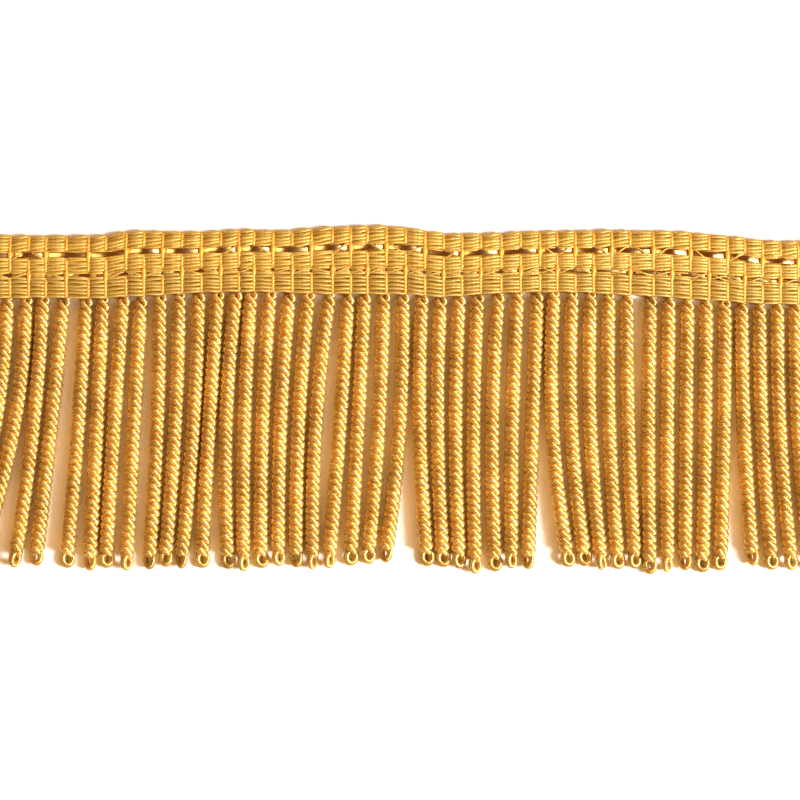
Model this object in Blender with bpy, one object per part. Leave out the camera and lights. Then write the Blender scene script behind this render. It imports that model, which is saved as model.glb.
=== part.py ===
# A cut length of cord fringe trim: a narrow woven heading with twisted cords hanging from it.
# It lies flat and face up on a surface. +X runs along the trim, +Y points to the heading's
# free edge, the cords point to -Y, and +Z leaves the surface.

from collections import namedtuple

import bmesh
import bpy

MM = 0.001

# Heading, a thick narrow band woven of fine lengthwise threads over one weft yarn for each cord
WEFT_LINE_DIP = 0.40 * MM       # how far the band dips at a weft line, between two pillows
WEFT_LINE_SHIFT = 0.40 * MM     # a weft line stands this far to the right of its cord
END_MARGIN = 1.65 * MM          # heading beyond the first and the last cord, cut straight

# Flat metal strips woven in lengthwise, each in a groove of the heading
STRIP_THICKNESS = 0.35 * MM
STRIP_LIFT = 1.10 * MM          # underside of a strip above the surface
UPPER_STRIP_WIDTH = 0.97 * MM
LOWER_STRIP_WIDTH = 0.75 * MM
UPPER_STRIP_PLACE = 0.317       # centre of a strip, as a share of the heading's width
LOWER_STRIP_PLACE = 0.645

# Cords, plain four-sided strands here
CORD_WIDTH = 2.20 * MM
CORD_HEIGHT = 2.40 * MM
CORD_STEPS = 8
TIP_WIDTH = 1.40 * MM
TIP_HEIGHT = 1.70 * MM
TIP_LENGTH = 1.00 * MM
TIP_UNEVENNESS = 0.25 * MM
UNEVENNESS_CYCLE = 3            # of three cords, one is a step longer and one a step shorter

# Backing that holds the cords' roots, parted from the heading's lower edge
PART_GAP = 0.30 * MM
BACKING_DEPTH = 1.00 * MM
BACKING_HEIGHT = 1.70 * MM

# The heading's wavy run, in millimetres: place along the trim, free edge, edge above the cords
Section = namedtuple("Section", "along free_edge cord_edge")
SECTIONS = (
    Section(-78.0, 28.95, 17.86),
    Section(-59.8, 28.86, 17.95),
    Section(-52.3, 28.93, 17.86),
    Section(-47.5, 29.60, 18.16),
    Section(-40.1, 29.59, 18.57),
    Section(-32.6, 29.57, 18.97),
    Section(-27.3, 29.95, 19.01),
    Section(-19.4, 29.80, 18.87),
    Section(-11.4, 30.48, 18.60),
    Section(0.5, 30.48, 18.55),
    Section(7.0, 29.36, 18.08),
    Section(9.9, 29.16, 18.30),
    Section(19.4, 29.39, 18.85),
    Section(28.9, 29.74, 18.97),
    Section(42.2, 29.83, 18.30),
    Section(50.2, 29.50, 17.83),
    Section(59.3, 28.69, 17.16),
    Section(65.3, 27.93, 16.86),
    Section(78.0, 28.25, 16.90),
)

# The band's surface from the free edge (0) to the cord edge (1): share of the width, height in
# millimetres at a pillow's crest, and how much of the weft line's dip reaches there
Row = namedtuple("Row", "share height dip")
ROWS = (
    Row(0.000, 0.95, 0.3),
    Row(0.035, 1.50, 0.8),
    Row(0.130, 1.90, 1.0),
    Row(0.230, 1.60, 0.6),
    Row(0.246, 0.80, 0.0),
    Row(0.388, 0.80, 0.0),
    Row(0.404, 1.60, 0.6),
    Row(0.485, 1.80, 1.0),
    Row(0.567, 1.60, 0.6),
    Row(0.583, 0.80, 0.0),
    Row(0.707, 0.80, 0.0),
    Row(0.723, 1.60, 0.6),
    Row(0.850, 1.90, 1.0),
    Row(0.965, 1.50, 0.8),
    Row(1.000, 0.95, 0.3),
)

# The cords hang in clumps. Each clump: how many cords, then for its first and last cord the
# place along the trim at the root, half way down and at the tip, and how far the tip reaches
Clump = namedtuple("Clump", "cords root middle tip reach")
CLUMPS = (
    Clump(4, (-75.4, -65.6), (-77.4, -67.5), (-83.0, -75.3), (-29.2, -29.4)),
    Clump(2, (-62.6, -59.0), (-64.4, -61.3), (-67.8, -64.0), (-29.4, -29.4)),
    Clump(2, (-55.1, -52.1), (-56.5, -53.2), (-58.6, -54.5), (-29.3, -30.0)),
    Clump(2, (-48.5, -45.4), (-50.2, -46.7), (-51.6, -48.0), (-29.8, -29.7)),
    Clump(3, (-42.1, -35.3), (-42.5, -36.3), (-43.8, -38.8), (-29.8, -29.4)),
    Clump(2, (-31.9, -28.7), (-33.5, -30.5), (-34.8, -30.1), (-29.6, -30.0)),
    Clump(4, (-26.1, -16.0), (-27.3, -17.8), (-27.4, -18.2), (-29.8, -29.2)),
    Clump(2, (-12.3, -9.1), (-15.0, -10.6), (-15.5, -12.8), (-29.8, -29.8)),
    Clump(3, (-6.2, 0.5), (-7.4, -0.1), (-8.7, -2.7), (-28.9, -28.8)),
    Clump(4, (3.9, 13.7), (3.6, 12.8), (5.2, 12.9), (-29.0, -30.3)),
    Clump(3, (17.3, 24.1), (16.2, 23.4), (16.8, 22.4), (-30.2, -29.5)),
    Clump(5, (27.1, 39.9), (26.6, 40.1), (29.8, 41.3), (-29.4, -29.9)),
    Clump(5, (44.0, 57.0), (43.6, 56.8), (43.9, 56.1), (-30.4, -30.0)),
    Clump(6, (60.0, 75.7), (60.4, 76.2), (62.0, 79.2), (-29.4, -30.7)),
)

# Finishes: colour, roughness, metallic
GOLD_THREAD = ((0.80, 0.56, 0.16, 1.0), 0.42, 0.35)
GOLD_CORD = ((0.86, 0.62, 0.20, 1.0), 0.38, 0.40)
GOLD_FOIL = ((0.93, 0.74, 0.36, 1.0), 0.18, 1.0)

Cord = namedtuple("Cord", "root middle tip reach")


# Clear the file, so that the script can be run again
def clear_objects():
    for old in list(bpy.data.objects):
        bpy.data.objects.remove(old, do_unlink=True)


def make_material(name, finish):
    colour, roughness, metallic = finish
    material = bpy.data.materials.new(name)
    material.use_nodes = True
    shader = material.node_tree.nodes["Principled BSDF"]
    shader.inputs["Base Color"].default_value = colour
    shader.inputs["Roughness"].default_value = roughness
    shader.inputs["Metallic"].default_value = metallic
    material.diffuse_color = colour
    return material


# Even steps from the first value to the last, ends included
def spread(first, last, count):
    return [first + (last - first) * step / (count - 1) for step in range(count)]


# One record for each cord, in metres, read from its clump
def list_cords():
    cords = []
    for clump in CLUMPS:
        columns = [spread(*ends, clump.cords)
                   for ends in (clump.root, clump.middle, clump.tip, clump.reach)]
        for root, middle, tip, reach in zip(*columns):
            turn = len(cords) % UNEVENNESS_CYCLE - 1
            cords.append(Cord(root * MM, middle * MM, tip * MM, reach * MM + turn * TIP_UNEVENNESS))
    return cords


# A smooth curve through the sections: slopes at a section come from its two neighbours
def follow(edge, along):
    knots = [section.along * MM for section in SECTIONS]
    values = [getattr(section, edge) * MM for section in SECTIONS]
    last = len(knots) - 1

    def slope(index):
        before = max(index - 1, 0)
        after = min(index + 1, last)
        return (values[after] - values[before]) / (knots[after] - knots[before])

    start = 0
    while start < last - 1 and along > knots[start + 1]:
        start += 1
    span = knots[start + 1] - knots[start]
    t = (along - knots[start]) / span
    rise = 3 * t ** 2 - 2 * t ** 3
    leave = t * (1 - t) ** 2
    arrive = t ** 2 * (t - 1)
    return (values[start] + rise * (values[start + 1] - values[start])
            + span * (leave * slope(start) + arrive * slope(start + 1)))


# The Y place at a share of the heading's width, 0 at the free edge and 1 at the cord edge
def across_heading(along, share):
    free_edge = follow("free_edge", along)
    return free_edge + (follow("cord_edge", along) - free_edge) * share


# Columns of the band: each weft line, where it dips, and two places on the pillow after it
def heading_columns(cords):
    lines = [cord.root + WEFT_LINE_SHIFT for cord in cords]
    columns = [(cords[0].root - END_MARGIN, 0.0)]
    for line, following in zip(lines, lines[1:]):
        pitch = following - line
        columns += [(line, 1.0), (line + pitch / 3, 0.0), (line + 2 * pitch / 3, 0.0)]
    columns += [(lines[-1], 1.0), (cords[-1].root + END_MARGIN, 0.0)]
    return columns


def object_from_bmesh(name, shape, material, collection):
    bmesh.ops.recalc_face_normals(shape, faces=shape.faces)
    mesh = bpy.data.meshes.new(name)
    shape.to_mesh(mesh)
    shape.free()
    mesh.materials.append(material)
    part = bpy.data.objects.new(name, mesh)
    collection.objects.link(part)
    return part


# A flat grid whose points are then placed by a function of their column and row
def placed_grid(columns, rows, place):
    shape = bmesh.new()
    bmesh.ops.create_grid(shape, x_segments=columns - 1, y_segments=rows - 1, size=0.5)
    for vertex in shape.verts:
        column = round((vertex.co.x + 0.5) * (columns - 1))
        row = round((vertex.co.y + 0.5) * (rows - 1))
        vertex.co = place(column, row)
    return shape


# The woven band: its ribbed upper face, walls down to the surface and one flat underside
def build_heading(cords, material, collection):
    columns = heading_columns(cords)

    def place(column, row):
        along, dip = columns[column]
        line = ROWS[row]
        height = line.height * MM - dip * line.dip * WEFT_LINE_DIP
        return along, across_heading(along, line.share), height

    shape = placed_grid(len(columns), len(ROWS), place)
    rim = [edge for edge in shape.edges if edge.is_boundary]
    walls = bmesh.ops.extrude_edge_only(shape, edges=rim)["geom"]
    for item in walls:
        if isinstance(item, bmesh.types.BMVert):
            item.co.z = 0.0
    hem = [edge for edge in shape.edges if edge.is_boundary]
    bmesh.ops.holes_fill(shape, edges=hem, sides=0)
    return object_from_bmesh("heading", shape, material, collection)


# A metal strip: a thin flat ribbon that keeps its width along the heading's run
def build_strip(name, share, width, cords, material, collection):
    columns = [along for along, dip in heading_columns(cords)][::2]

    def place(column, row):
        along = columns[column]
        side = 0.5 - row
        return along, across_heading(along, share) + side * width, STRIP_LIFT

    shape = placed_grid(len(columns), 2, place)
    top = bmesh.ops.extrude_face_region(shape, geom=list(shape.faces))["geom"]
    for item in top:
        if isinstance(item, bmesh.types.BMVert):
            item.co.z += STRIP_THICKNESS
    return object_from_bmesh(name, shape, material, collection)


# Rings down one cord: centre, width and height. The sideways run is a parabola through the
# root, the middle and the tip, and the last stretch narrows to the folded end
def cord_rings(cord, root_edge):
    drop = root_edge - cord.reach
    lean = cord.tip - cord.root
    sway = cord.middle - cord.root
    bend = 2 * (lean - 2 * sway)
    reach = drop - TIP_LENGTH
    rings = []
    for step in range(1, CORD_STEPS + 1):
        t = step / CORD_STEPS * reach / drop
        rings.append((cord.root + (lean - bend) * t + bend * t ** 2, root_edge - drop * t,
                      CORD_WIDTH, CORD_HEIGHT))
    rings.append((cord.tip, cord.reach, TIP_WIDTH, TIP_HEIGHT))
    return rings


# Draw one side face of the backing out along its cord, ring by ring
def draw_out_cord(shape, face, rings):
    for along, across, width, height in rings:
        face = bmesh.ops.extrude_discrete_faces(shape, faces=[face])["faces"][0]
        middle = face.calc_center_median()
        places = {corner: (along + width * (0.5 if corner.co.x > middle.x else -0.5), across,
                           height if corner.co.z > middle.z else 0.0) for corner in face.verts}
        for corner, spot in places.items():
            corner.co = spot


# The backing strip along the heading's lower edge, with the cords drawn out of it
def build_fringe(cords, material, collection):
    stops = [cords[0].root - END_MARGIN]
    for cord in cords:
        stops += [cord.root - CORD_WIDTH / 2, cord.root + CORD_WIDTH / 2]
    stops.append(cords[-1].root + END_MARGIN)

    def place(column, row):
        along = stops[column]
        depth = PART_GAP + (1 - row) * BACKING_DEPTH
        return along, follow("cord_edge", along) - depth, 0.0

    shape = placed_grid(len(stops), 2, place)
    top = bmesh.ops.extrude_face_region(shape, geom=list(shape.faces))["geom"]
    for item in top:
        if isinstance(item, bmesh.types.BMVert):
            item.co.z = BACKING_HEIGHT
    shape.normal_update()
    bmesh.ops.recalc_face_normals(shape, faces=shape.faces)
    lower_side = [face for face in shape.faces if face.normal.y < -0.5]
    lower_side.sort(key=lambda face: face.calc_center_median().x)
    for cord, face in zip(cords, lower_side[1::2]):
        root_edge = face.calc_center_median().y
        draw_out_cord(shape, face, cord_rings(cord, root_edge))
    return object_from_bmesh("fringe", shape, material, collection)


# Stand the whole trim with the middle of its footprint on the origin
def centre_on_origin(parts, collection):
    corners = [vertex.co for part in parts for vertex in part.data.vertices]
    middle = [(min(c[axis] for c in corners) + max(c[axis] for c in corners)) / 2
              for axis in (0, 1)]
    root = bpy.data.objects.new("trim_origin", None)
    root.location = (-middle[0], -middle[1], 0.0)
    collection.objects.link(root)
    for part in parts:
        part.parent = root


def main():
    clear_objects()
    collection = bpy.data.collections.new("cord fringe trim")
    bpy.context.scene.collection.children.link(collection)
    thread = make_material("gold thread", GOLD_THREAD)
    cord_finish = make_material("gold twisted cord", GOLD_CORD)
    foil = make_material("flat gold strip", GOLD_FOIL)

    cords = list_cords()
    parts = [
        build_heading(cords, thread, collection),
        build_strip("strip_upper", UPPER_STRIP_PLACE, UPPER_STRIP_WIDTH, cords, foil, collection),
        build_strip("strip_lower", LOWER_STRIP_PLACE, LOWER_STRIP_WIDTH, cords, foil, collection),
        build_fringe(cords, cord_finish, collection),
    ]
    centre_on_origin(parts, collection)


main()
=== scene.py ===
import math
import random

import bpy
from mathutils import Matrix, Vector


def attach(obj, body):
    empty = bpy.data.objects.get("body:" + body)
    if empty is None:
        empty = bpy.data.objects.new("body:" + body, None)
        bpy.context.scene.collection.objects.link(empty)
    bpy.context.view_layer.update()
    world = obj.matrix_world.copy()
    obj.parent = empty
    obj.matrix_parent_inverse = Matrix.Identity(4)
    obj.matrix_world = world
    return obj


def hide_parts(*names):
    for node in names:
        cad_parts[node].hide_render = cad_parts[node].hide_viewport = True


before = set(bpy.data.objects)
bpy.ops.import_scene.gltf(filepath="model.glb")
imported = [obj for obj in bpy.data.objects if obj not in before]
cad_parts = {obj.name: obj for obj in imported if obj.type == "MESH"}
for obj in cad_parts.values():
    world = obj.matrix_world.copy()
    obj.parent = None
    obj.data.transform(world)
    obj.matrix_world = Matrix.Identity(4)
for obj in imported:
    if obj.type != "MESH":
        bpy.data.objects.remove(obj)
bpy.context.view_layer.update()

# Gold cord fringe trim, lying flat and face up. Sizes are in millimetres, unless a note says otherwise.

millimetre = 0.001
photoCentre = Vector((1.832, 0.038, 0.0))  # the middle of the photo in the frame's own millimetres
seed = 17


def linear(code):
    # sRGB hex to the linear colour that the shaders take
    channels = [int(code[start:start + 2], 16) / 255 for start in (1, 3, 5)]
    return [c / 12.92 if c < 0.04045 else ((c + 0.055) / 1.055) ** 2.4 for c in channels] + [1.0]


def addNode(tree, kind, values=(), links=(), **settings):
    node = tree.nodes.new(kind)
    for name, value in settings.items():
        setattr(node, name, value)
    for socket, value in dict(values).items():
        node.inputs[socket].default_value = value
    for socket, source in dict(links).items():
        tree.links.new(source, node.inputs[socket])
    return node


def smooth(share):
    share = min(max(share, 0.0), 1.0)
    return share * share * (3 - 2 * share)


def mix(start, end, share):
    return start + (end - start) * share


def spread(pair, count):
    return [mix(pair[0], pair[1], index / max(count - 1, 1)) for index in range(count)]


# The heading's two edges, read along the trim: along, free edge, cord edge
headingSections = [
    (-78.0, 28.95, 17.86), (-59.8, 28.86, 17.95), (-52.3, 28.93, 17.86), (-47.5, 29.60, 18.16),
    (-40.1, 29.59, 18.57), (-32.6, 29.57, 18.97), (-27.3, 29.95, 19.01), (-19.4, 29.80, 18.87),
    (-11.4, 30.48, 18.60), (0.5, 30.48, 18.55), (7.0, 29.36, 18.08), (9.9, 29.16, 18.30),
    (19.4, 29.39, 18.85), (28.9, 29.74, 18.97), (42.2, 29.83, 18.30), (50.2, 29.50, 17.83),
    (59.3, 28.69, 17.16), (65.3, 27.93, 16.86), (78.0, 28.25, 16.90),
]

# The cords hang in clumps: cords, root, middle and tip along the trim (first and last cord), reach
clumps = [
    (4, (-75.4, -65.6), (-77.8, -67.9), (-83.1, -74.6), (-29.2, -29.4)),
    (2, (-62.6, -59.0), (-64.4, -61.3), (-67.8, -64.0), (-29.4, -29.4)),
    (2, (-55.1, -52.1), (-56.5, -53.2), (-58.6, -54.5), (-29.3, -30.0)),
    (2, (-48.5, -45.4), (-50.2, -46.7), (-51.6, -48.0), (-29.8, -29.7)),
    (3, (-42.1, -35.3), (-42.6, -36.3), (-44.1, -38.5), (-29.8, -29.4)),
    (2, (-31.9, -28.7), (-33.5, -30.5), (-34.8, -30.1), (-29.6, -30.0)),
    (4, (-26.1, -16.0), (-27.3, -17.8), (-27.4, -18.2), (-29.8, -29.2)),
    (2, (-12.3, -9.1), (-14.8, -10.6), (-15.3, -12.5), (-29.8, -29.8)),
    (3, (-6.2, 0.5), (-7.4, -0.1), (-8.7, -2.7), (-28.9, -28.8)),
    (4, (3.9, 13.7), (3.5, 12.9), (4.9, 13.3), (-29.0, -30.3)),
    (3, (17.3, 24.1), (16.2, 23.2), (16.8, 22.4), (-30.2, -29.5)),
    (5, (27.1, 39.9), (26.8, 40.1), (29.8, 41.3), (-29.4, -29.9)),
    (5, (44.0, 57.0), (43.6, 56.8), (43.9, 56.1), (-30.4, -30.0)),
    (6, (60.0, 75.7), (60.4, 76.2), (62.0, 79.2), (-29.4, -30.7)),
]


def follow(table, column, along):
    # a smooth curve through one column of a table, whose slopes come from the neighbouring rows
    last = len(table) - 1
    index = max(i for i in range(last) if i == 0 or table[i][0] <= along)

    def slope(row):
        before, after = table[max(row - 1, 0)], table[min(row + 1, last)]
        return (after[column] - before[column]) / (after[0] - before[0])

    width = table[index + 1][0] - table[index][0]
    share = min(max((along - table[index][0]) / width, 0.0), 1.0)
    square, cube = share ** 2, share ** 3
    return ((2 * cube - 3 * square + 1) * table[index][column]
            + (cube - 2 * square + share) * width * slope(index)
            + (3 * square - 2 * cube) * table[index + 1][column]
            + (cube - square) * width * slope(index + 1))


def acrossHeading(along, share):
    # 0 is the heading's free edge, and 1 is the edge that the cords hang from
    return mix(follow(headingSections, 1, along), follow(headingSections, 2, along), share)


# One Geometry Nodes tree turns the middle lines of threads into closed tubes
def threadTree(name, keepFlat):
    tree = bpy.data.node_groups.new(name, "GeometryNodeTree")
    tree.interface.new_socket("Lines", in_out="INPUT", socket_type="NodeSocketGeometry")
    for label, kind, value in (("Sides", "NodeSocketInt", 8), ("Flatness", "NodeSocketFloat", 1.0)):
        tree.interface.new_socket(label, in_out="INPUT", socket_type=kind).default_value = value
    tree.interface.new_socket("Material", in_out="INPUT", socket_type="NodeSocketMaterial")
    tree.interface.new_socket("Threads", in_out="OUTPUT", socket_type="NodeSocketGeometry")
    given = addNode(tree, "NodeGroupInput")
    lines = addNode(tree, "GeometryNodeMeshToCurve", links={"Mesh": given.outputs["Lines"]})
    upright = addNode(tree, "GeometryNodeSetCurveNormal", links={"Curve": lines.outputs["Curve"]},
                      mode="Z_UP" if keepFlat else "MINIMUM_TWIST")
    roll = addNode(tree, "GeometryNodeInputNamedAttribute", {"Name": "roll"}, data_type="FLOAT")
    rolled = addNode(tree, "GeometryNodeSetCurveTilt", {},
                     {"Curve": upright.outputs["Curve"], "Tilt": roll.outputs["Attribute"]})
    ahead = addNode(tree, "GeometryNodeInputTangent")
    headed = addNode(tree, "GeometryNodeStoreNamedAttribute", {"Name": "flow"},
                     {"Geometry": rolled.outputs["Curve"], "Value": ahead.outputs["Tangent"]},
                     data_type="FLOAT_VECTOR", domain="POINT")
    ring = addNode(tree, "GeometryNodeCurvePrimitiveCircle", {"Radius": 1.0},
                   {"Resolution": given.outputs["Sides"]})
    place = addNode(tree, "GeometryNodeInputPosition")
    marked = addNode(tree, "GeometryNodeStoreNamedAttribute", {"Name": "around"},
                     {"Geometry": ring.outputs["Curve"], "Value": place.outputs["Position"]},
                     data_type="FLOAT_VECTOR", domain="POINT")
    shape = addNode(tree, "ShaderNodeCombineXYZ", {"X": 1.0, "Z": 1.0}, {"Y": given.outputs["Flatness"]})
    section = addNode(tree, "GeometryNodeTransform", {},
                      {"Geometry": marked.outputs["Geometry"], "Scale": shape.outputs["Vector"]})
    radius = addNode(tree, "GeometryNodeInputNamedAttribute", {"Name": "yarnRadius"}, data_type="FLOAT")
    tube = addNode(tree, "GeometryNodeCurveToMesh", {"Fill Caps": True},
                   {"Curve": headed.outputs["Geometry"], "Profile Curve": section.outputs["Geometry"],
                    "Scale": radius.outputs["Attribute"]})
    real = addNode(tree, "GeometryNodeRealizeInstances", {}, {"Geometry": tube.outputs["Mesh"]})
    soft = addNode(tree, "GeometryNodeSetShadeSmooth", {}, {"Geometry": real.outputs["Geometry"]})
    finish = addNode(tree, "GeometryNodeSetMaterial", {},
                     {"Geometry": soft.outputs["Geometry"], "Material": given.outputs["Material"]})
    addNode(tree, "NodeGroupOutput", {}, {"Threads": finish.outputs["Geometry"]})
    return tree


def socketOf(tree, label):
    return next(item.identifier for item in tree.interface.items_tree
                if item.name == label and item.in_out == "INPUT")


def makeThreads(name, threads, tree, sides, flatness, material):
    # threads holds one list for each thread, of (place, radius, length so far, tone, roll) rows
    places, edges, radii, lengths, tones, rolls = [], [], [], [], [], []
    for thread in threads:
        first = len(places)
        for place, radius, length, tone, roll in thread:
            places.append((Vector(place) + photoCentre) * millimetre)
            radii.append(radius * millimetre)
            lengths.append(length)
            tones.append(tone)
            rolls.append(roll)
        edges += [(index, index + 1) for index in range(first, len(places) - 1)]
    mesh = bpy.data.meshes.new(name)
    mesh.from_pydata(places, edges, [])
    for label, numbers in (("yarnRadius", radii), ("along", lengths), ("tone", tones), ("roll", rolls)):
        mesh.attributes.new(label, "FLOAT", "POINT").data.foreach_set("value", numbers)
    piece = bpy.data.objects.new(name, mesh)
    bpy.context.scene.collection.objects.link(piece)
    builder = piece.modifiers.new("threads", "NODES")
    builder.node_group = tree
    builder[socketOf(tree, "Sides")] = sides
    builder[socketOf(tree, "Flatness")] = flatness
    builder[socketOf(tree, "Material")] = material
    bpy.context.view_layer.update()
    graph = bpy.context.evaluated_depsgraph_get()
    plain = bpy.data.meshes.new_from_object(piece.evaluated_get(graph), preserve_all_data_layers=True,
                                            depsgraph=graph)
    piece.modifiers.clear()
    piece.data = plain
    plain.name = name
    return piece


def principled(name):
    material = bpy.data.materials.new(name)
    material.use_nodes = True
    material.node_tree.nodes.clear()
    tree = material.node_tree
    shader = addNode(tree, "ShaderNodeBsdfPrincipled")
    addNode(tree, "ShaderNodeOutputMaterial", {}, {"Surface": shader.outputs["BSDF"]})
    return material, tree, shader


def mixColours(tree, first, second, factor):
    blend = addNode(tree, "ShaderNodeMix", {}, {0: factor}, data_type="RGBA")
    for socket, colour in ((6, first), (7, second)):
        if isinstance(colour, str):
            blend.inputs[socket].default_value = linear(colour)
        else:
            tree.links.new(colour, blend.inputs[socket])
    return blend.outputs[2]


# The direction across the filaments, which spiral round the thread, for highlights that fan out across them
def acrossFilaments(tree, slope):
    flow = addNode(tree, "ShaderNodeAttribute", attribute_name="flow")
    surface = addNode(tree, "ShaderNodeNewGeometry")
    girth = addNode(tree, "ShaderNodeVectorMath", {},
                    {0: surface.outputs["Normal"], 1: flow.outputs["Vector"]}, operation="CROSS_PRODUCT")
    spiral = addNode(tree, "ShaderNodeVectorMath", {1: (slope, slope, slope)},
                     {0: girth.outputs["Vector"], 2: flow.outputs["Vector"]}, operation="MULTIPLY_ADD")
    across = addNode(tree, "ShaderNodeVectorMath", {},
                     {0: surface.outputs["Normal"], 1: spiral.outputs["Vector"]}, operation="CROSS_PRODUCT")
    return across.outputs["Vector"]


# Filament yarn: many fine bright filaments laid together with a slight twist, so it shines in fine streaks
# that run round the thread.
# Its colour has painted shade, darker in the grooves between the streaks, and painted glints, random paler
# spots for sparkle
def filamentYarn(name, look):
    material, tree, shader = principled(name)
    around = addNode(tree, "ShaderNodeAttribute", attribute_name="around")
    along = addNode(tree, "ShaderNodeAttribute", attribute_name="along")
    tone = addNode(tree, "ShaderNodeAttribute", attribute_name="tone")
    turn = addNode(tree, "ShaderNodeMath", {1: look["twist"]}, {0: along.outputs["Fac"]},
                   operation="MULTIPLY")
    spun = addNode(tree, "ShaderNodeVectorRotate", {},
                   {"Vector": around.outputs["Vector"], "Angle": turn.outputs[0]}, rotation_type="Z_AXIS")
    run = addNode(tree, "ShaderNodeCombineXYZ", {}, {"Z": along.outputs["Fac"]})
    place = addNode(tree, "ShaderNodeVectorMath", {1: (look["radius"], look["radius"], 0.0)},
                    {0: spun.outputs["Vector"], 2: run.outputs["Vector"]}, operation="MULTIPLY_ADD")
    drawn = addNode(tree, "ShaderNodeVectorMath", {1: (look["round"], look["round"], look["down"])},
                    {0: place.outputs["Vector"]}, operation="MULTIPLY")
    streaks = addNode(tree, "ShaderNodeTexNoise", {"Scale": 1.0, "Detail": 2.0},
                      {"Vector": drawn.outputs["Vector"]})
    spots = addNode(tree, "ShaderNodeTexNoise", {"Scale": 1 / look["spot"], "Detail": 1.0},
                    {"Vector": place.outputs["Vector"]})
    streakShare = addNode(tree, "ShaderNodeMapRange", {"From Min": 0.35, "From Max": 0.65},
                          {"Value": streaks.outputs["Fac"]})
    spotShare = addNode(tree, "ShaderNodeMapRange", {"From Min": 0.35, "From Max": 0.7},
                        {"Value": spots.outputs["Fac"]})
    # painted shade: the colour darkens in the grooves between the streaks, where the relief is low
    grooveShade = mixColours(tree, look["grooveShade"], look["middle"], streakShare.outputs["Result"])
    # painted glints: random spots of a paler colour for the sparkle of the filaments
    lit = mixColours(tree, grooveShade, look["paintedGlint"], spotShare.outputs["Result"])
    toned = addNode(tree, "ShaderNodeHueSaturation", {},
                    {"Color": lit, "Value": tone.outputs["Fac"]})
    tree.links.new(toned.outputs["Color"], shader.inputs["Base Color"])
    relief = addNode(tree, "ShaderNodeBump",
                     {"Strength": 1.0, "Distance": look["relief"] * millimetre},
                     {"Height": streaks.outputs["Fac"]})
    tree.links.new(relief.outputs["Normal"], shader.inputs["Normal"])
    tree.links.new(acrossFilaments(tree, look["twist"] * look["radius"]), shader.inputs["Tangent"])
    shader.inputs["Anisotropic"].default_value = look["anisotropy"]
    shader.inputs["Anisotropic Rotation"].default_value = look["turned"]
    shader.inputs["Specular IOR Level"].default_value = look["gloss"]
    shader.inputs["Specular Tint"].default_value = linear(look["tint"])
    shader.inputs["IOR"].default_value = look["ior"]
    shader.inputs["Metallic"].default_value = look["metallic"]
    shader.inputs["Roughness"].default_value = look["roughness"]
    return material


# Each yarn's colours: its own middle colour, a darker painted shade for the grooves between streaks, and a
# paler painted glint colour for sparkle spots
cordLook = {
    "twist": 2.4, "radius": 0.67, "round": 7.0, "down": 0.8, "spot": 0.35, "relief": 0.012,
    "grooveShade": "#C87D1C", "middle": "#DDAE42", "paintedGlint": "#F2DC92", "metallic": 0.76, "roughness": 0.45,
    "anisotropy": 0.95, "turned": 0.0, "gloss": 0.5, "ior": 1.5, "tint": "#FFFFFF",
}
warpLook = {
    "twist": 1.0, "radius": 0.3, "round": 9.0, "down": 1.0, "spot": 0.3, "relief": 0.02,
    "grooveShade": "#A57317", "middle": "#B48A28", "paintedGlint": "#C6A442", "metallic": 0.10, "roughness": 0.42,
    "anisotropy": 0.90, "turned": 0.25, "gloss": 1.0, "ior": 1.9, "tint": "#FFEFBA",
}
weftLook = {
    "twist": -1.5, "radius": 0.3, "round": 8.0, "down": 1.0, "spot": 0.35, "relief": 0.04,
    "grooveShade": "#D4821F", "middle": "#E6992C", "paintedGlint": "#F3B23C", "metallic": 0.1, "roughness": 0.5,
    "anisotropy": 0.0, "turned": 0.0, "gloss": 0.6, "ior": 1.5, "tint": "#FFFFFF",
}

cordYarn = filamentYarn("twisted gold filament yarn", cordLook)
warpYarn = filamentYarn("fine gold warp thread", warpLook)
weftYarn = filamentYarn("yellow gold weft yarn", weftLook)


# Rolled brass-coloured metal strip: smooth and bright, with faint lengthwise rolling lines
metalLook = {
    "lines": (60.0, 2500.0, 2500.0), "dark": "#E4B266", "light": "#F3D79A", "roughness": 0.2,
    "relief": 0.02, "reliefStrength": 0.15,
}


def rolledStrip():
    material, tree, shader = principled("rolled flat gold metal strip")
    where = addNode(tree, "ShaderNodeTexCoord")
    drawn = addNode(tree, "ShaderNodeMapping", {"Scale": metalLook["lines"]},
                    {"Vector": where.outputs["Object"]})
    lines = addNode(tree, "ShaderNodeTexNoise", {"Scale": 1.0, "Detail": 2.0},
                    {"Vector": drawn.outputs["Vector"]})
    colour = mixColours(tree, metalLook["dark"], metalLook["light"], lines.outputs["Fac"])
    tree.links.new(colour, shader.inputs["Base Color"])
    relief = addNode(tree, "ShaderNodeBump",
                     {"Strength": metalLook["reliefStrength"],
                      "Distance": metalLook["relief"] * millimetre},
                     {"Height": lines.outputs["Fac"]})
    tree.links.new(relief.outputs["Normal"], shader.inputs["Normal"])
    shader.inputs["Metallic"].default_value = 1.0
    shader.inputs["Roughness"].default_value = metalLook["roughness"]
    return material


stripMetal = rolledStrip()

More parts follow.
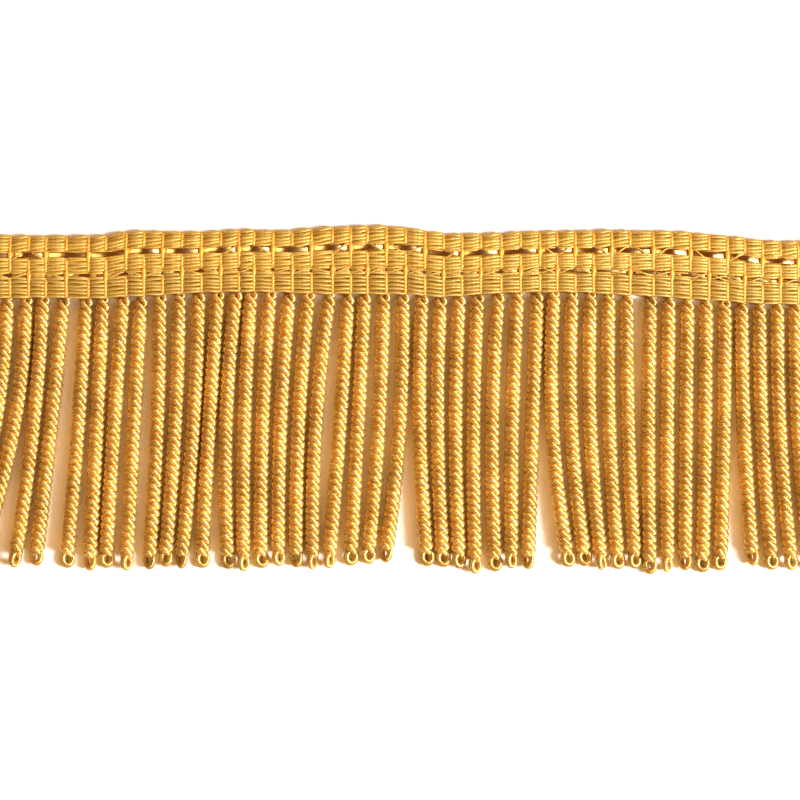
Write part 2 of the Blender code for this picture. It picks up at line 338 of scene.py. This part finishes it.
# A cord is one yarn, folded in two and twisted: its plies, its loose root and tuck under the heading,
# its neck and eye at the tip, the painted shade that darkens the eye, and what varies from cord to cord
cord = {
    "plyRadius": 0.69, "throw": 0.69, "height": 1.38, "lay": 2.59, "stepsInLay": 16, "sides": 10,
    "rootLay": 3.3, "rootLength": 3.6, "rootThrow": 0.78, "rootRise": 0.42, "rootPly": 0.48,
    "rootHeight": 0.95, "intoHeading": 0.9,
    "tuckLength": 0.75, "tuckThrow": 0.42, "tuckRise": 0.10, "tuckPly": 0.34, "tuckHeight": 0.48,
    "neckLength": 1.0, "eyeRadius": 0.86, "eyeLong": 1.25, "eyeYarn": 0.55, "eyeSteps": 22,
    "eyeShade": 0.84, "plyGap": 0.02, "eyeGap": 0.03,
    "uneven": 0.25, "eyeTurn": 0.33, "tones": (0.94, 1.06), "weftAside": 0.40,
}
# Painted sheen: brighter and duller runs along each cord, painted into its colour for the way a looser or
# tighter twist catches the light: share, waves for each mm
sheenRuns = [(0.11, 0.33), (0.07, 0.85)]
sheenRunChance = random.Random(seed + 1)


def cordPath(root, middle, tip, reach, plane, tone):
    # one yarn: down the first ply, round the eye at the tip, and up the second ply
    top = acrossHeading(root, 1.0)
    eyeStart = math.asin(cord["eyeYarn"] / cord["eyeRadius"])
    eyeHalf = cord["eyeRadius"] * cord["eyeLong"]
    eyeLength = eyeHalf * (1 + math.cos(eyeStart)) + cord["eyeYarn"]
    eyeHeight = cord["eyeYarn"] + abs(math.sin(plane)) * cord["eyeRadius"] + cord["eyeGap"]
    drop = top - reach
    lean, sway = tip - root, middle - root
    bend = 2 * (lean - 2 * sway)

    def routeAt(share):
        return Vector((root + (lean - bend) * share + bend * share * share, top - drop * share, 0.0))

    def directionAt(share):
        return Vector((lean - bend + 2 * bend * share, -drop, 0.0)).normalized()

    step = cord["lay"] / cord["stepsInLay"]
    scale = Vector((lean, drop)).length
    neck = scale - eyeLength
    count = round((neck + cord["intoHeading"]) / step)
    marks = [neck - (count - index) * step for index in range(count + 1)]
    angle, angles = plane, []
    for mark in reversed(marks):
        angles.append(angle)
        lay = mix(cord["rootLay"], cord["lay"], smooth(mark / cord["rootLength"]))
        angle += 2 * math.pi * step / lay
    angles.reverse()
    plies = []
    for half in (0, 1):
        ply = []
        for mark, turned in zip(marks, angles):
            loose = 1 - smooth(mark / cord["rootLength"])
            tight = smooth(1 - (neck - mark) / cord["neckLength"])
            tuck = smooth(1 - mark / cord["tuckLength"])
            throw, rise, radius, height = (
                mix(mix(mix(cord[usual], cord["root" + kind], loose), atNeck, tight),
                    cord["tuck" + kind], tuck)
                for usual, kind, atNeck in (
                    ("throw", "Throw", cord["eyeYarn"]), ("throw", "Rise", cord["eyeYarn"]),
                    ("plyRadius", "Ply", cord["eyeYarn"]), ("height", "Height", eyeHeight)))
            ahead = directionAt(mark / scale)
            side = Vector((-ahead.y, ahead.x, 0.0))
            phase = turned + math.pi * half
            place = routeAt(mark / scale) + side * throw * math.cos(phase)
            place.z = max(height + rise * math.sin(phase), radius + cord["plyGap"])
            ply.append((place, radius))
        plies.append(ply)
    ahead = directionAt(neck / scale)
    across = (Vector((-ahead.y, ahead.x, 0.0)) * math.cos(plane) + Vector((0, 0, math.sin(plane))))
    centre = routeAt(neck / scale) + ahead * eyeHalf * math.cos(eyeStart)
    centre.z = eyeHeight
    eye = []
    for index in range(1, cord["eyeSteps"]):
        gamma = mix(eyeStart, 2 * math.pi - eyeStart, index / cord["eyeSteps"])
        out = across * math.sin(gamma) * cord["eyeRadius"] - ahead * math.cos(gamma) * eyeHalf
        eye.append((centre + out, cord["eyeYarn"]))
    starts = [sheenRunChance.uniform(0, 2 * math.pi) for _ in sheenRuns]
    run, length, rows = plies[0] + eye + plies[1][::-1], 0.0, []
    for index, (place, radius) in enumerate(run):
        if index:
            length += (place - run[index - 1][0]).length
        # painted sheen: brighter and duller runs along the cord
        shade = 1 + sum(share * math.sin(waves * place.y + start)
                        for (share, waves), start in zip(sheenRuns, starts))
        # painted shade: the eye at the tip is painted darker, for the shadow it lies in
        if len(plies[0]) <= index < len(plies[0]) + len(eye):
            shade *= cord["eyeShade"]
        rows.append((place, radius, length, tone * shade, 0.0))
    return rows


chance = random.Random(seed)
roundThreads = threadTree("round threads", False)
flatThreads = threadTree("flat threads", True)
fringePieces, weftLines = [], []
for number, (count, roots, middles, tips, reaches) in enumerate(clumps):
    paths = []
    columns = [spread(pair, count) for pair in (roots, middles, tips, reaches)]
    for root, middle, tip, reach in zip(*columns):
        uneven = cord["uneven"] * (len(weftLines) % 3 - 1)
        plane = chance.uniform(-cord["eyeTurn"] * math.pi, cord["eyeTurn"] * math.pi)
        tone = chance.uniform(*cord["tones"])
        paths.append(cordPath(root, middle, tip, reach + uneven, plane, tone))
        weftLines.append(root + cord["weftAside"])
    piece = makeThreads(f"cords_{number + 1:02d}", paths, roundThreads, cord["sides"], 1.0, cordYarn)
    fringePieces.append(piece)
print("cords made:", len(weftLines))


# The heading: warp threads in three bands, which bulge up between the weft yarns and dip under them
heading = {
    # first and last share, threads, tone, slant, and the way the band draws back from the lower strip
    "bands": [(0.034, 0.240, 5, 1.00, -0.034, 0), (0.392, 0.602, 5, 0.98, -0.008, -1),
              (0.686, 0.975, 6, 0.76, 0.010, 1)],
    "drawBack": 0.024, "drawStart": 18.0, "drawLength": 10.0,
    "start": -77.05, "end": 77.35, "thickness": 1.9,
    "warpWidth": 0.66, "warpHeight": 0.40, "stepsInPillow": 10, "sides": 8, "backSides": 6,
    "crest": 1.66, "dip": 1.26, "pillowPower": 1.0, "backClear": 0.24, "margin": 1.5,
    "edgeDrop": 0.85, "edgeShare": 0.17,
    "tones": (0.94, 1.06), "slantSpread": 0.012, "lifts": (-0.08, 0.06),
    # a thread wanders sideways in slow waves: size, waves for each mm, turns of its own start
    "wanders": [(0.05, 1.3, 1), (0.04, 0.47, 2)], "wanderStart": 6.28,
}


def picks():
    # the stretches from one weft yarn to the next
    marks = [heading["start"]] + weftLines + [heading["end"]]
    return list(zip(marks, marks[1:]))


def pillow(along):
    # 0 under a weft yarn, 1 midway between two
    for left, right in zip([heading["start"] - heading["margin"]] + weftLines,
                           weftLines + [heading["end"] + heading["margin"]]):
        if left <= along <= right:
            share = (along - left) / (right - left)
            return math.sin(math.pi * share) ** heading["pillowPower"]
    return 0.0


def stations():
    places = []
    for left, right in picks():
        places += [mix(left, right, index / heading["stepsInPillow"])
                   for index in range(heading["stepsInPillow"])]
    return places + [heading["end"]]


def edgeDrop(share):
    # the heading thins towards its free edge
    return heading["edgeDrop"] * smooth(1 - share / heading["edgeShare"])


def warpThreads(front):
    threads = []
    count = len(weftLines) + 2
    for first, last, number, bandTone, slant, way in heading["bands"]:
        slants = [slant + chance.uniform(-heading["slantSpread"], heading["slantSpread"])
                  for _ in range(count)]
        for share in spread((first, last), number):
            tone = bandTone * chance.uniform(*heading["tones"])
            wander = chance.uniform(0, heading["wanderStart"])
            lift = [chance.uniform(*heading["lifts"]) for _ in range(count)]
            near = abs(share - (first if way < 0 else last)) / (last - first)
            rows = []
            for index, along in enumerate(stations()):
                pick = min(index // heading["stepsInPillow"], len(lift) - 1)
                part = index % heading["stepsInPillow"] / heading["stepsInPillow"]
                slanted = share + slants[pick] * (part - 0.5 if part else 0)
                drawn = smooth((along - heading["drawStart"]) / heading["drawLength"])
                slanted += heading["drawBack"] * way * near * drawn
                height = mix(heading["dip"], heading["crest"] + lift[pick], pillow(along))
                if front:
                    height -= edgeDrop(share)
                else:
                    height = max(heading["thickness"] - height, heading["backClear"])
                drift = sum(size * math.sin(along * waves + wander * turns)
                            for size, waves, turns in heading["wanders"])
                place = Vector((along, acrossHeading(along, slanted) + drift, height))
                rows.append((place, heading["warpWidth"] / 2, along, tone, 0.0))
            threads.append(rows)
    return threads


# Loose threads that cross over the metal strips here and there: shares they move between, chance to cross
straysOver = [(0.258, 0.376, 0.3), (0.275, 0.365, 0.2), (0.612, 0.682, 0.6), (0.622, 0.674, 0.5)]
strayLook = {"radius": 0.17, "height": 1.80, "low": 1.42, "steps": 8, "sides": 7,
             "crossRate": 1.3, "crossWait": 0.15}
# A flat thread covers the lower metal strip and leaves windows in it: a small one beside every second
# weft yarn as far as "turns" along the trim, and larger ones beside every weft yarn from there on.
# It shows up to a share of each stretch, first value before "turns" and second value after.
coverLook = {"share": 0.645, "radius": 0.26, "over": 1.62, "under": 0.95, "opens": (0.45, 0.10),
             "covered": (2.0, 0.55), "turns": 22.0, "tone": 0.9, "uneven": 0.1, "steep": 5, "sag": 0.2,
             "riseStarts": (-0.4, 0.5)}


def strayThreads():
    threads = []
    for first, last, moves in straysOver:
        side, rows = 0, []
        for left, right in picks():
            after = 1 - side if chance.random() < moves else side
            for index in range(strayLook["steps"]):
                part = index / strayLook["steps"]
                along = mix(left, right, part)
                crossed = smooth(part * strayLook["crossRate"] - strayLook["crossWait"])
                share = mix(first, last, mix(side, after, crossed))
                height = mix(strayLook["low"], strayLook["height"], math.sin(math.pi * part))
                place = Vector((along, acrossHeading(along, share), height))
                rows.append((place, strayLook["radius"], along, 1.0, 0.0))
            side = after
        threads.append(rows)
    return threads


def coverThread():
    rows = []
    for number, (left, right) in enumerate(picks()):
        later = left > coverLook["turns"]
        opens = coverLook["opens"][later] + chance.uniform(-coverLook["uneven"], coverLook["uneven"])
        if number % 2 == 0:
            opens = coverLook["covered"][later]
        for index in range(heading["stepsInPillow"]):
            part = index / heading["stepsInPillow"]
            along = mix(left, right, part)
            shown = (smooth((opens - part) * coverLook["steep"] + 0.5)
                     * smooth(part * coverLook["steep"] + coverLook["riseStarts"][number % 2]))
            height = mix(coverLook["under"], coverLook["over"] - coverLook["sag"] * abs(2 * part - 1), shown)
            place = Vector((along, acrossHeading(along, coverLook["share"]), height))
            rows.append((place, coverLook["radius"], along, coverLook["tone"], 0.0))
    return rows


flatness = heading["warpHeight"] / heading["warpWidth"]
frontWarps = makeThreads("warp_front", warpThreads(True), flatThreads, heading["sides"], flatness,
                         warpYarn)
backWarps = makeThreads("warp_back", warpThreads(False), flatThreads, heading["backSides"], flatness,
                        warpYarn)
strays = makeThreads("stray_threads", strayThreads(), roundThreads, strayLook["sides"], 1.0, warpYarn)
cover = makeThreads("cover_thread", [coverThread()], flatThreads, heading["sides"], flatness, warpYarn)
print("warp threads made")

# Two flat metal strips are bound down by every second weft yarn and arch over the other ones
upperStrip = {"share": 0.317, "width": 1.10, "bound": 0, "low": 1.02, "arch": 0.84, "thickness": 0.10,
              "fullness": 1.65, "skew": 0.95, "roll": 8.0, "steps": 24}
lowerStrip = {"share": 0.645, "width": 0.80, "bound": 1, "low": 1.00, "arch": 0.72, "thickness": 0.10,
              "fullness": 2.2, "skew": 0.62, "roll": 6.0, "steps": 24}
# What both strips have in common: how much their arches and skews vary, and the stretch of a full arch
stripBoth = {"arches": (0.6, 1.12), "skews": (0.7, 1.3), "fullStretch": 6.0, "sides": 12}
# The weft yarn swells over a strip that it binds, dips under one that it doesn't, and is thin and low
# where it turns at the free edge
weft = {
    "radius": 0.38, "height": 1.24, "steps": 44, "sides": 8, "first": 0.985, "last": 0.014,
    "tones": (0.95, 1.05), "nearWidth": 0.055, "nearStart": 1.6,
    "boundRadius": 0.10, "boundHeight": 0.12, "dip": 0.45,
    "edgeShare": 0.05, "edgeRadius": 0.15, "edgeHeight": 0.5, "backEdgeHeight": 0.4,
}


def crossing(share, strip):
    # 1 where a weft yarn meets the strip, 0 away from it
    return smooth(weft["nearStart"] - abs(share - strip["share"]) / weft["nearWidth"])


def weftThreads():
    threads = []
    for number, along in enumerate(weftLines):
        tone, rows, length = chance.uniform(*weft["tones"]), [], 0.0
        count = weft["steps"]
        before = None
        for side in (1, -1):
            for index in range(count + 1):
                part = index / count if side > 0 else 1 - index / count
                share = mix(weft["first"], weft["last"], part)
                height, radius = weft["height"], weft["radius"]
                for strip in (upperStrip, lowerStrip):
                    near = crossing(share, strip)
                    if number % 2 == strip["bound"]:
                        radius += weft["boundRadius"] * near
                        height += weft["boundHeight"] * near
                    else:
                        height -= weft["dip"] * near
                edge = smooth(1 - (share - weft["last"]) / weft["edgeShare"])
                radius = mix(radius, weft["edgeRadius"], edge)
                height = mix(height - edgeDrop(share), weft["edgeHeight"], edge)
                if side < 0:
                    height = mix(heading["thickness"] - weft["height"], weft["backEdgeHeight"], edge)
                place = Vector((along, acrossHeading(along, share), height))
                if before is not None:
                    length += (place - before).length
                before = place
                rows.append((place, radius, length, tone, 0.0))
        threads.append(rows)
    return threads


weftBars = makeThreads("weft_yarn", weftThreads(), roundThreads, weft["sides"], 1.0, weftYarn)
print("weft yarn made")


def stripThread(strip):
    bound = [x for number, x in enumerate(weftLines) if number % 2 == strip["bound"]]
    marks = [heading["start"]] + bound + [heading["end"]]
    rows = []
    for left, right in zip(marks, marks[1:]):
        arch = strip["arch"] * chance.uniform(*stripBoth["arches"])
        arch *= min(1.0, (right - left) / stripBoth["fullStretch"])
        lean = math.radians(strip["roll"]) * chance.uniform(-1, 1)
        skew = strip["skew"] * chance.uniform(*stripBoth["skews"])
        for index in range(strip["steps"]):
            share = index / strip["steps"]
            along = mix(left, right, share)
            puff = 1 - abs(2 * share ** skew - 1) ** strip["fullness"]
            place = Vector((along, acrossHeading(along, strip["share"]), strip["low"] + arch * puff))
            rows.append((place, strip["width"] / 2, along, 1.0, lean * puff))
    return rows


def makeStrip(name, strip):
    return makeThreads(name, [stripThread(strip)], flatThreads, stripBoth["sides"],
                       strip["thickness"] / strip["width"], stripMetal)


upper = makeStrip("metal_strip_upper", upperStrip)
lower = makeStrip("metal_strip_lower", lowerStrip)
print("metal strips made")


# The ground weave between the front and the back warps closes the gaps between the threads
groundLook = {
    "rows": 90, "columns": 8, "low": 0.85, "high": 1.12, "first": 0.02, "last": 0.985,
    "drops": (0.6, 0.75), "grain": 2500.0, "dark": "#C07E2C", "light": "#DCA046", "roughness": 0.6,
}


def groundWeave():
    material, tree, shader = principled("dense brown gold ground weave")
    where = addNode(tree, "ShaderNodeTexCoord")
    cells = addNode(tree, "ShaderNodeTexNoise", {"Scale": groundLook["grain"], "Detail": 2.0},
                    {"Vector": where.outputs["Object"]})
    colour = mixColours(tree, groundLook["dark"], groundLook["light"], cells.outputs["Fac"])
    tree.links.new(colour, shader.inputs["Base Color"])
    shader.inputs["Roughness"].default_value = groundLook["roughness"]
    return material


def makeGround():
    rows, columns = groundLook["rows"], groundLook["columns"]
    corners, faces = [], []
    for level, drop in zip((groundLook["low"], groundLook["high"]), groundLook["drops"]):
        for row in range(rows + 1):
            along = mix(heading["start"], heading["end"], row / rows)
            for column in range(columns + 1):
                share = mix(groundLook["first"], groundLook["last"], column / columns)
                height = level - edgeDrop(share) * drop
                corners.append((Vector((along, acrossHeading(along, share), height)) + photoCentre)
                               * millimetre)
    layer = (rows + 1) * (columns + 1)

    def at(level, row, column):
        return level * layer + row * (columns + 1) + column

    for row in range(rows):
        for column in range(columns):
            faces.append((at(1, row, column), at(1, row, column + 1), at(1, row + 1, column + 1),
                          at(1, row + 1, column))[::-1])
            faces.append((at(0, row, column), at(0, row, column + 1), at(0, row + 1, column + 1),
                          at(0, row + 1, column)))
    for row in range(rows):
        faces.append((at(0, row, 0), at(0, row + 1, 0), at(1, row + 1, 0), at(1, row, 0))[::-1])
        faces.append((at(0, row, columns), at(0, row + 1, columns), at(1, row + 1, columns),
                      at(1, row, columns)))
    for column in range(columns):
        faces.append((at(0, 0, column), at(0, 0, column + 1), at(1, 0, column + 1), at(1, 0, column)))
        faces.append((at(0, rows, column), at(0, rows, column + 1), at(1, rows, column + 1),
                      at(1, rows, column))[::-1])
    mesh = bpy.data.meshes.new("ground_weave")
    mesh.from_pydata(corners, [], faces)
    mesh.materials.append(groundWeave())
    piece = bpy.data.objects.new("ground_weave", mesh)
    bpy.context.scene.collection.objects.link(piece)
    return piece


ground = makeGround()
print("ground weave made")

for piece in fringePieces:
    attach(piece, "root")
    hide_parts("fringe")
for piece in (frontWarps, backWarps, strays, cover, weftBars, ground):
    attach(piece, "root")
    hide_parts("heading")
for piece, node in ((upper, "strip_upper"), (lower, "strip_lower")):
    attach(piece, "root")
    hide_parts(node)


# A plain white floor, a dim warm sky, a soft key light from the right, bright boxes that the metal
# strips mirror on either side, and warm fills in front and behind. Places and sizes are in metres.
studio = {
    "floorSize": 4.0, "floorGrain": 900.0, "floorDark": "#EFEDEA", "floorLight": "#F6F5F3",
    "floorRoughness": 0.9, "sky": "#62380C", "skyStrength": 1.35,
    "keyPlace": (0.905, -0.225, 0.625), "keySize": (0.32, 0.32), "keyPower": 27.0,
    "keyColour": (1.0, 0.985, 0.96),
    "boxes": {"left": ((-0.985, 0.13, 1.26), 3.7, (1.0, 0.76, 0.44)),
              "right": ((0.94, 0.13, 1.29), 4.4, (1.0, 1.0, 1.0))}, "boxSize": (0.45, 0.56),
    "fills": {"front": ((0.15, -1.25, 0.90), 7.7), "back": ((0.0, 1.25, 0.90), 6.0)},
    "fillSize": (1.0, 0.6), "fillColour": (1.0, 0.57, 0.20),
    "lens": 100.0, "sensor": 36.0, "cameraHeight": 0.39, "faceHeight": 0.00125,
    "nearest": 0.01, "farthest": 20.0,
}


def makeFloor():
    half = studio["floorSize"] / 2
    mesh = bpy.data.meshes.new("floor")
    mesh.from_pydata([(-half, -half, 0), (half, -half, 0), (half, half, 0), (-half, half, 0)], [],
                     [(0, 1, 2, 3)])
    material, tree, shader = principled("matt white paper floor")
    where = addNode(tree, "ShaderNodeTexCoord")
    fibres = addNode(tree, "ShaderNodeTexNoise", {"Scale": studio["floorGrain"], "Detail": 2.0},
                     {"Vector": where.outputs["Object"]})
    colour = mixColours(tree, studio["floorDark"], studio["floorLight"], fibres.outputs["Fac"])
    tree.links.new(colour, shader.inputs["Base Color"])
    shader.inputs["Roughness"].default_value = studio["floorRoughness"]
    mesh.materials.append(material)
    floor = bpy.data.objects.new("floor", mesh)
    bpy.context.scene.collection.objects.link(floor)


def makeSky():
    world = bpy.data.worlds.new("studio")
    world.use_nodes = True
    world.node_tree.nodes.clear()
    tree = world.node_tree
    sky = addNode(tree, "ShaderNodeBackground", {"Color": linear(studio["sky"]),
                  "Strength": studio["skyStrength"]})
    addNode(tree, "ShaderNodeOutputWorld", {}, {"Surface": sky.outputs["Background"]})
    bpy.context.scene.world = world


def makeLight(name, place, size, power, colour):
    lamp = bpy.data.lights.new(name, "AREA")
    lamp.shape = "RECTANGLE"
    lamp.size, lamp.size_y = size
    lamp.energy = power
    lamp.color = colour
    thing = bpy.data.objects.new(name, lamp)
    thing.location = place
    thing.rotation_mode = "QUATERNION"
    thing.rotation_quaternion = (-Vector(place)).to_track_quat("-Z", "Y")
    bpy.context.scene.collection.objects.link(thing)


makeFloor()
makeSky()
makeLight("key", studio["keyPlace"], studio["keySize"], studio["keyPower"], studio["keyColour"])
for side, (place, power, colour) in studio["boxes"].items():
    makeLight(side + "_box", place, studio["boxSize"], power, colour)
for side, (place, power) in studio["fills"].items():
    makeLight(side + "_fill", place, studio["fillSize"], power, studio["fillColour"])

camera = bpy.data.objects.new("camera", bpy.data.cameras.new("camera"))
camera.data.lens = studio["lens"]
camera.data.sensor_width = studio["sensor"]
camera.data.clip_start = studio["nearest"]
camera.data.clip_end = studio["farthest"]
camera.location = (photoCentre.x * millimetre, photoCentre.y * millimetre,
                   studio["cameraHeight"] + studio["faceHeight"])
camera.rotation_euler = (0.0, 0.0, 0.0)
bpy.context.scene.collection.objects.link(camera)
bpy.context.scene.camera = camera
bpy.context.scene.view_settings.view_transform = "Standard"
print("studio made")
